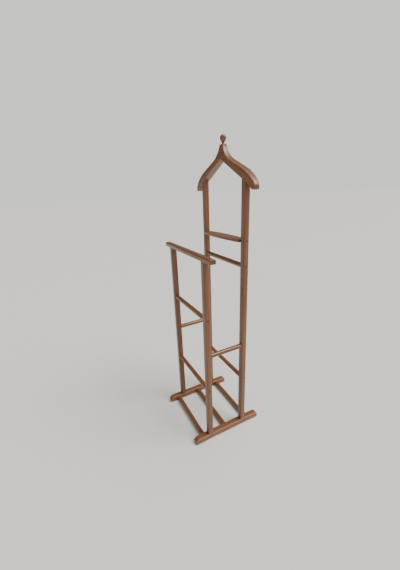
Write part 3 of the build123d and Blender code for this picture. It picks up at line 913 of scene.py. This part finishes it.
class VALET_OT_hanger(Operator):
    """The two arms of the hanger, halved together in the neck and pinned by two dowels"""

    bl_idname = "valet.hanger"
    bl_label = "Hanger"

    def execute(self, context):
        blank = self.shape_blank()
        # The blank is marked before it is sawn, so that the faces of the lap carry no wear.
        mark_rubbed_edges(blank)
        slope = sizes().arm_slope
        for board, (side_name, side) in enumerate(SIDES.items(), start=21):
            node = "hanger_arm_" + side_name
            arm = self.halve(blank, node, side)
            grain = Vector((side * math.cos(slope), 0, -math.sin(slope)))
            wood = stained_wood(node + "_wood", grain, middle(node), board, tone=0.67, red=0.40, rub=0.55)
            finish_piece(arm, node, wood, rubbed=False)
        bpy.data.objects.remove(blank, do_unlink=True)
        return {"FINISHED"}

    def shape_blank(self):
        """Both arms and the neck as one rounded shape."""
        given = sizes()
        outer, inner = arm_outline()
        y = rear_y()
        thick = given.shoulder_thickness
        half_neck = given.neck_width / 2
        strip = 4 * MM
        centre = (half_neck / 2, y, outer[0].y - strip / 2)
        blank = sheet("hanger_blank", centre, (math.pi / 2, 0, 0), (half_neck, strip))
        for target, x in ((outer[1], half_neck), (inner[1], 0)):
            corner = Vector((x, y, outer[0].y - strip))
            self.move_corner(blank, corner, Vector((target.x, y, target.y)))
        for step in range(2, len(outer)):
            self.draw_out(blank, (outer[step - 1], inner[step - 1]), (outer[step], inner[step]))
        bpy.ops.object.mode_set(mode="OBJECT")
        mirror = blank.modifiers.new("both arms", "MIRROR")
        mirror.merge_threshold = 0.05 * MM
        bpy.ops.object.modifier_apply(modifier=mirror.name)
        bpy.ops.object.mode_set(mode="EDIT")
        pick_all_faces()
        face_outwards()
        bpy.ops.transform.translate(value=(0, -thick / 2, 0))
        bpy.ops.mesh.extrude_region_move(TRANSFORM_OT_translate={"value": (0, thick, 0)})
        face_outwards()
        for point in outer + inner:
            pick(blank, "VERT", lambda v: near(abs(v.co.x), point.x) and near(v.co.z, point.y))
            ratio = hanger_thickness(point.x, point.y) / thick
            bpy.ops.transform.resize(value=(1, ratio, 1), center_override=(0, y, 0))
        self.weigh_edges(blank)
        bpy.ops.object.mode_set(mode="OBJECT")
        rounding = blank.modifiers.new("rounded", "BEVEL")
        rounding.limit_method = "WEIGHT"
        rounding.width = given.tip_edge
        rounding.segments = 6
        rounding.use_clamp_overlap = True
        bpy.ops.object.modifier_apply(modifier=rounding.name)
        return blank

    def move_corner(self, blank, corner, target):
        """Moves the corner at one place to another."""
        if pick(blank, "VERT", lambda v: stands_at(v, corner)) != 1:
            raise RuntimeError("the hanger's outline has lost a corner")
        bpy.ops.transform.translate(value=target - corner)

    def draw_out(self, blank, last, new):
        """Extrudes the open edge of the strip to its next place."""
        y = rear_y()
        ends = [Vector((p.x, y, p.y)) for p in last]
        pick(blank, "EDGE", lambda e: all(any(stands_at(v, end) for end in ends) for v in e.verts))
        step = Vector((new[0].x - last[0].x, 0, new[0].y - last[0].y))
        bpy.ops.mesh.extrude_region_move(TRANSFORM_OT_translate={"value": step})
        self.move_corner(blank, ends[1] + step, Vector((new[1].x, y, new[1].y)))

    def weigh_edges(self, blank):
        """Marks how much each edge is rounded: most round the tips, least round the neck's top."""
        high = corners("hanger_arm_right")[1]
        post_x = middle("post_rear_right").x

        def side_of(edge):
            """The face of an outline edge that isn't on the hanger's front or back."""
            flat = [f for f in edge.link_faces if abs(f.normal.y) > 0.8]
            around = [f for f in edge.link_faces if abs(f.normal.y) <= 0.8]
            return around[0] if len(flat) == 1 and len(around) == 1 else None

        def is_top(face):
            return face.normal.z > 0.95 and near(face.calc_center_median().z, high.z)

        def above(edge):
            face = side_of(edge)
            return face is not None and face.normal.z > -0.35 and not is_top(face)

        def below(edge):
            face = side_of(edge)
            return face is not None and face.normal.z <= -0.35

        def rim(edge):
            return len(edge.link_faces) == 2 and sum(is_top(f) for f in edge.link_faces) == 1

        def at_tip(edge):
            return above(edge) and abs(midpoint(edge).x) > post_x + 0.35 * (high.x - post_x)

        # A later test takes the edges that an earlier one shares with it.
        for test, weight in ((above, 0.7), (at_tip, 1.0), (below, 0.35), (rim, 0.25)):
            if not pick(blank, "EDGE", test):
                raise RuntimeError("the hanger's outline has no such edges")
            bpy.ops.transform.edge_bevelweight(value=-1.0)
            bpy.ops.transform.edge_bevelweight(value=weight)

    def halve(self, blank, node, side):
        """
        One arm: the blank less the other arm and the other arm's half of the lap. In its own layer of
        the lap an arm loses only what hangs below it. In the other layer it ends under the other arm.
        """
        given = sizes()
        arm = duplicate(blank)
        label(arm, node + "_wood")
        thick = given.shoulder_thickness
        reach = 3 * corners("hanger_arm_right")[1].x
        past_lap = 2 * given.neck_width
        for layer in (-1, 1):
            own = layer != side
            slope = side * given.arm_slope
            turn = Euler((0, slope if own else -slope, 0))
            normal = turn.to_matrix() @ ALONG_Z
            along = turn.to_matrix() @ ALONG_X
            gap = 0.05 * MM if own else given.seam
            face = Vector((0, rear_y() + layer * thick, notch_z())) - normal * gap
            centre = face + normal * (reach / 2) * (-1 if own else 1) - along * side * (reach - past_lap)
            self.saw_off(arm, centre, turn, (2 * reach, 2 * thick, reach))
        centre = (-side * (past_lap + reach), rear_y(), notch_z())
        self.saw_off(arm, centre, Euler(), (2 * reach, 4 * thick, 2 * reach))
        return arm

    def saw_off(self, arm, centre, turn, across):
        """Removes what lies in a box."""
        deselect()
        bpy.ops.mesh.primitive_cube_add(size=1, location=centre, rotation=turn, scale=across)
        combine(arm, new_piece("waste"), "DIFFERENCE")


class VALET_OT_finial(Operator):
    """The turned ball on its stem, on top of the neck"""

    bl_idname = "valet.finial"
    bl_label = "Finial"

    def execute(self, context):
        given = sizes()
        foot, waist = given.finial_foot, given.finial_waist
        low, high = corners("finial")
        centre = (low + high) / 2
        height = high.z - low.z
        widest = (high.x - low.x) / 2
        belly = (widest, given.finial_belly)
        ball = curve_points(
            ((waist, given.finial_stem), (7 * MM, 9 * MM), (widest, 13 * MM), belly, 14),
            (belly, (widest, 27.5 * MM), (6.5 * MM, height), (0.5 * MM, height), 12),
        )
        profile = [
            (0, foot - 0.4 * MM),
            (0.4 * MM, foot),
            (1.2 * MM, foot),
            (1.7 * MM, foot - 0.5 * MM),
            (2.6 * MM, waist + 0.3 * MM),
        ] + [(point.y, point.x) for point in ball]
        piece = turned("finial_wood", (centre.x, centre.y, low.z), ALONG_Z, profile, sides=56)
        wood = stained_wood("finial_wood", ALONG_Z, centre, 24, rub=0.35, spacing=2.4 * MM)
        finish_piece(piece, "finial", wood)
        return {"FINISHED"}


class VALET_OT_plugs(Operator):
    """Wood plugs over the screws, and the two dowels through the neck"""

    bl_idname = "valet.plugs"
    bl_label = "Plugs and dowels"

    def execute(self, context):
        self.cross_plugs()
        self.bar_plugs()
        self.lap_dowels()
        return {"FINISHED"}

    def disc(self, at, axis):
        """A plug's visible end, slightly crowned, with its edge eased."""
        radius, rise = sizes().plug_radius, sizes().plug_rise
        stations = [
            (-1.5 * MM, radius - 0.1 * MM),
            (0.0, radius - 0.1 * MM),
            (0.55 * rise, radius - 0.35 * MM),
            (0.9 * rise, radius * 0.6),
            (rise, radius * 0.2),
        ]
        return turned("plug", at, axis, stations, sides=32)

    def cross_plugs(self):
        """Plugs on the outer faces of the posts, one over each end of a cross rung and of the shelf."""
        node = "cross_member_plugs"
        first, *others = (middle(joint) for joint in CROSS_RUNGS + ["accessory_shelf"])
        outer_x = corners("post_rear_right")[1].x
        plugs = []
        for side in SIDES.values():
            plug = self.disc((side * outer_x, first.y, first.z), ALONG_X * side)
            plugs += copies(plug, [Vector((0, at.y - first.y, at.z - first.z)) for at in others])
        piece = join(plugs, node + "_wood")
        centre = Vector((0, 0, 0.5))
        wood = stained_wood(node, ALONG_X, centre, 25, tone=0.42, red=0.2, rub=0.3, spacing=2 * MM)
        finish_piece(piece, node, wood)

    def bar_plugs(self):
        """Plugs on top of the trouser bar, one over each front post."""
        node = "trouser_bar_plugs"
        post = middle("post_front_right")
        plug = self.disc((post.x, post.y, corners("trouser_bar")[1].z), ALONG_Z)
        piece = join(copies(plug, [ALONG_X * -2 * post.x]), node + "_wood")
        wood = stained_wood(node, ALONG_Y, middle(node), 26, tone=0.55, red=0.1, rub=0.3, spacing=2 * MM)
        finish_piece(piece, node, wood)

    def lap_dowels(self):
        """Pins through the lap, rounded where they come out of the neck."""
        node = "hanger_lap_dowels"
        low, high = corners(node)
        radius = sizes().pin_radius
        rise = 0.35 * MM
        pins = []
        for x, z in ((low.x + radius, high.z - radius), (high.x - radius, low.z + radius)):
            half = hanger_thickness(abs(x), z) / 2
            end = [(half, radius), (half + 0.8 * rise, radius * 0.75), (half + rise, radius * 0.3)]
            stations = [(-distance, r) for distance, r in reversed(end)] + end
            pins.append(turned("pin", (x, rear_y(), z), ALONG_Y, stations, sides=28))
        piece = join(pins, node + "_wood")
        wood = stained_wood(node, ALONG_Y, middle(node), 27, tone=0.30, red=0.3, rub=0.2, spacing=2 * MM)
        finish_piece(piece, node, wood)


class VALET_OT_hardware(Operator):
    """Materials for the screws, the stud and the hidden dowels, which stay as the frame has them"""

    bl_idname = "valet.hardware"
    bl_label = "Hardware"

    def execute(self, context):
        for node in ("cross_member_screws", "trouser_bar_screws", "foot_screws", "finial_stud"):
            self.paint(node, zinc_steel())
        node = "hanger_post_dowels"
        wood = stained_wood(node, ALONG_Z, middle(node), 28, tone=0.7, red=0.1, rub=0.2, spacing=2 * MM)
        self.paint(node, wood)
        return {"FINISHED"}

    def paint(self, node, material):
        """Puts a material in every slot of a CAD node."""
        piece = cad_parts[node]
        if not piece.material_slots:
            piece.data.materials.append(material)
        for place in piece.material_slots:
            place.material = material


# ---------------------------------------------------------------- studio


class VALET_OT_stage(Operator):
    """A pale floor, soft lights and the camera"""

    bl_idname = "valet.stage"
    bl_label = "Stage"

    def execute(self, context):
        self.floor()
        self.sky()
        self.lights()
        self.camera()
        return {"FINISHED"}

    def floor(self):
        """A disc so wide that its edge is out of sight."""
        deselect()
        bpy.ops.mesh.primitive_circle_add(vertices=96, radius=60, fill_type="NGON", location=(0, 0, 0))
        ground = new_piece("studio_floor")
        ground.data.materials.append(studio_floor())

    def sky(self):
        """A weak light from all round, which the camera sees as bright as the floor."""
        steady, extra_in_view = 0.22, 0.84
        world = bpy.data.worlds.new("studio")
        bpy.context.scene.world = world
        world.use_nodes = True
        tree = world.node_tree
        seen = put(tree, "ShaderNodeLightPath").outputs["Is Camera Ray"]
        strength = maths(tree, "MULTIPLY_ADD", seen, extra_in_view, steady)
        wire(tree, tree.nodes["Background"], {"Color": (*finish().sky, 1), "Strength": strength})

    def lights(self):
        """A broad key from above, behind and right, one overhead, and weak ones from the front and right."""
        for name, toward, spread, strength in (
            ("key", Vector((0.46, 0.48, 0.75)), 34, 2.6),
            ("top", Vector((0.15, 0.25, 0.95)), 50, 2.2),
            ("fill", Vector((0.45, -0.80, 0.42)), 80, 0.35),
            ("side", Vector((0.95, -0.25, 0.16)), 45, 0.35),
        ):
            deselect()
            bpy.ops.object.light_add(type="SUN", location=toward * 4)
            lamp = bpy.context.object
            lamp.name = name
            lamp.data.angle = math.radians(spread)
            lamp.data.energy = strength
            lamp.data.color = finish().light
            lamp.rotation_euler = toward.to_track_quat("Z", "Y").to_euler()

    def camera(self):
        """A short lens at the height of the hanger's tips, in front of the right side, looking down."""
        data = bpy.data.cameras.new("camera")
        camera = bpy.data.objects.new("camera", data)
        bpy.context.scene.collection.objects.link(camera)
        place = Vector((0.9158, -0.5022, 1.0197))
        yaw, pitch, roll = 1.102, -0.343, -0.038
        forward = Vector((-math.sin(yaw) * math.cos(pitch), math.cos(yaw) * math.cos(pitch), math.sin(pitch)))
        level = Vector((math.cos(yaw), math.sin(yaw), 0))
        upward = level.cross(forward)
        right = math.cos(roll) * level + math.sin(roll) * upward
        over = math.cos(roll) * upward - math.sin(roll) * level
        turn = Matrix((right, over, -forward)).transposed()
        camera.matrix_world = Matrix.Translation(place) @ turn.to_4x4()
        data.sensor_width = 36
        data.lens = 16.863
        data.clip_start = 0.02
        data.clip_end = 60
        bpy.context.scene.camera = camera


class VALET_PT_panel(Panel):
    """The pieces of the valet stand, in the order they are made"""

    bl_label = "Valet stand"
    bl_idname = "VALET_PT_panel"
    bl_space_type = "VIEW_3D"
    bl_region_type = "UI"
    bl_category = "Valet"

    def draw(self, context):
        for operator in PIECES:
            self.layout.operator(operator.bl_idname)
        for group in (context.scene.valet_sizes, context.scene.valet_finish):
            box = self.layout.box()
            for key in group.__annotations__:
                box.prop(group, key)


PIECES = [
    VALET_OT_posts,
    VALET_OT_feet,
    VALET_OT_rungs,
    VALET_OT_shoe_bars,
    VALET_OT_trouser_bar,
    VALET_OT_shelf,
    VALET_OT_hanger,
    VALET_OT_finial,
    VALET_OT_plugs,
    VALET_OT_hardware,
    VALET_OT_stage,
]
CLASSES = [ValetSizes, ValetFinish, *PIECES, VALET_PT_panel]


def register():
    for cls in CLASSES:
        bpy.utils.register_class(cls)
    bpy.types.Scene.valet_sizes = PointerProperty(type=ValetSizes)
    bpy.types.Scene.valet_finish = PointerProperty(type=ValetFinish)


def unregister():
    del bpy.types.Scene.valet_finish
    del bpy.types.Scene.valet_sizes
    for cls in reversed(CLASSES):
        bpy.utils.unregister_class(cls)


def main():
    register()
    for operator in PIECES:
        section, name = operator.bl_idname.split(".")
        getattr(getattr(bpy.ops, section), name)()
    deselect()


if __name__ == "__main__":
    main()
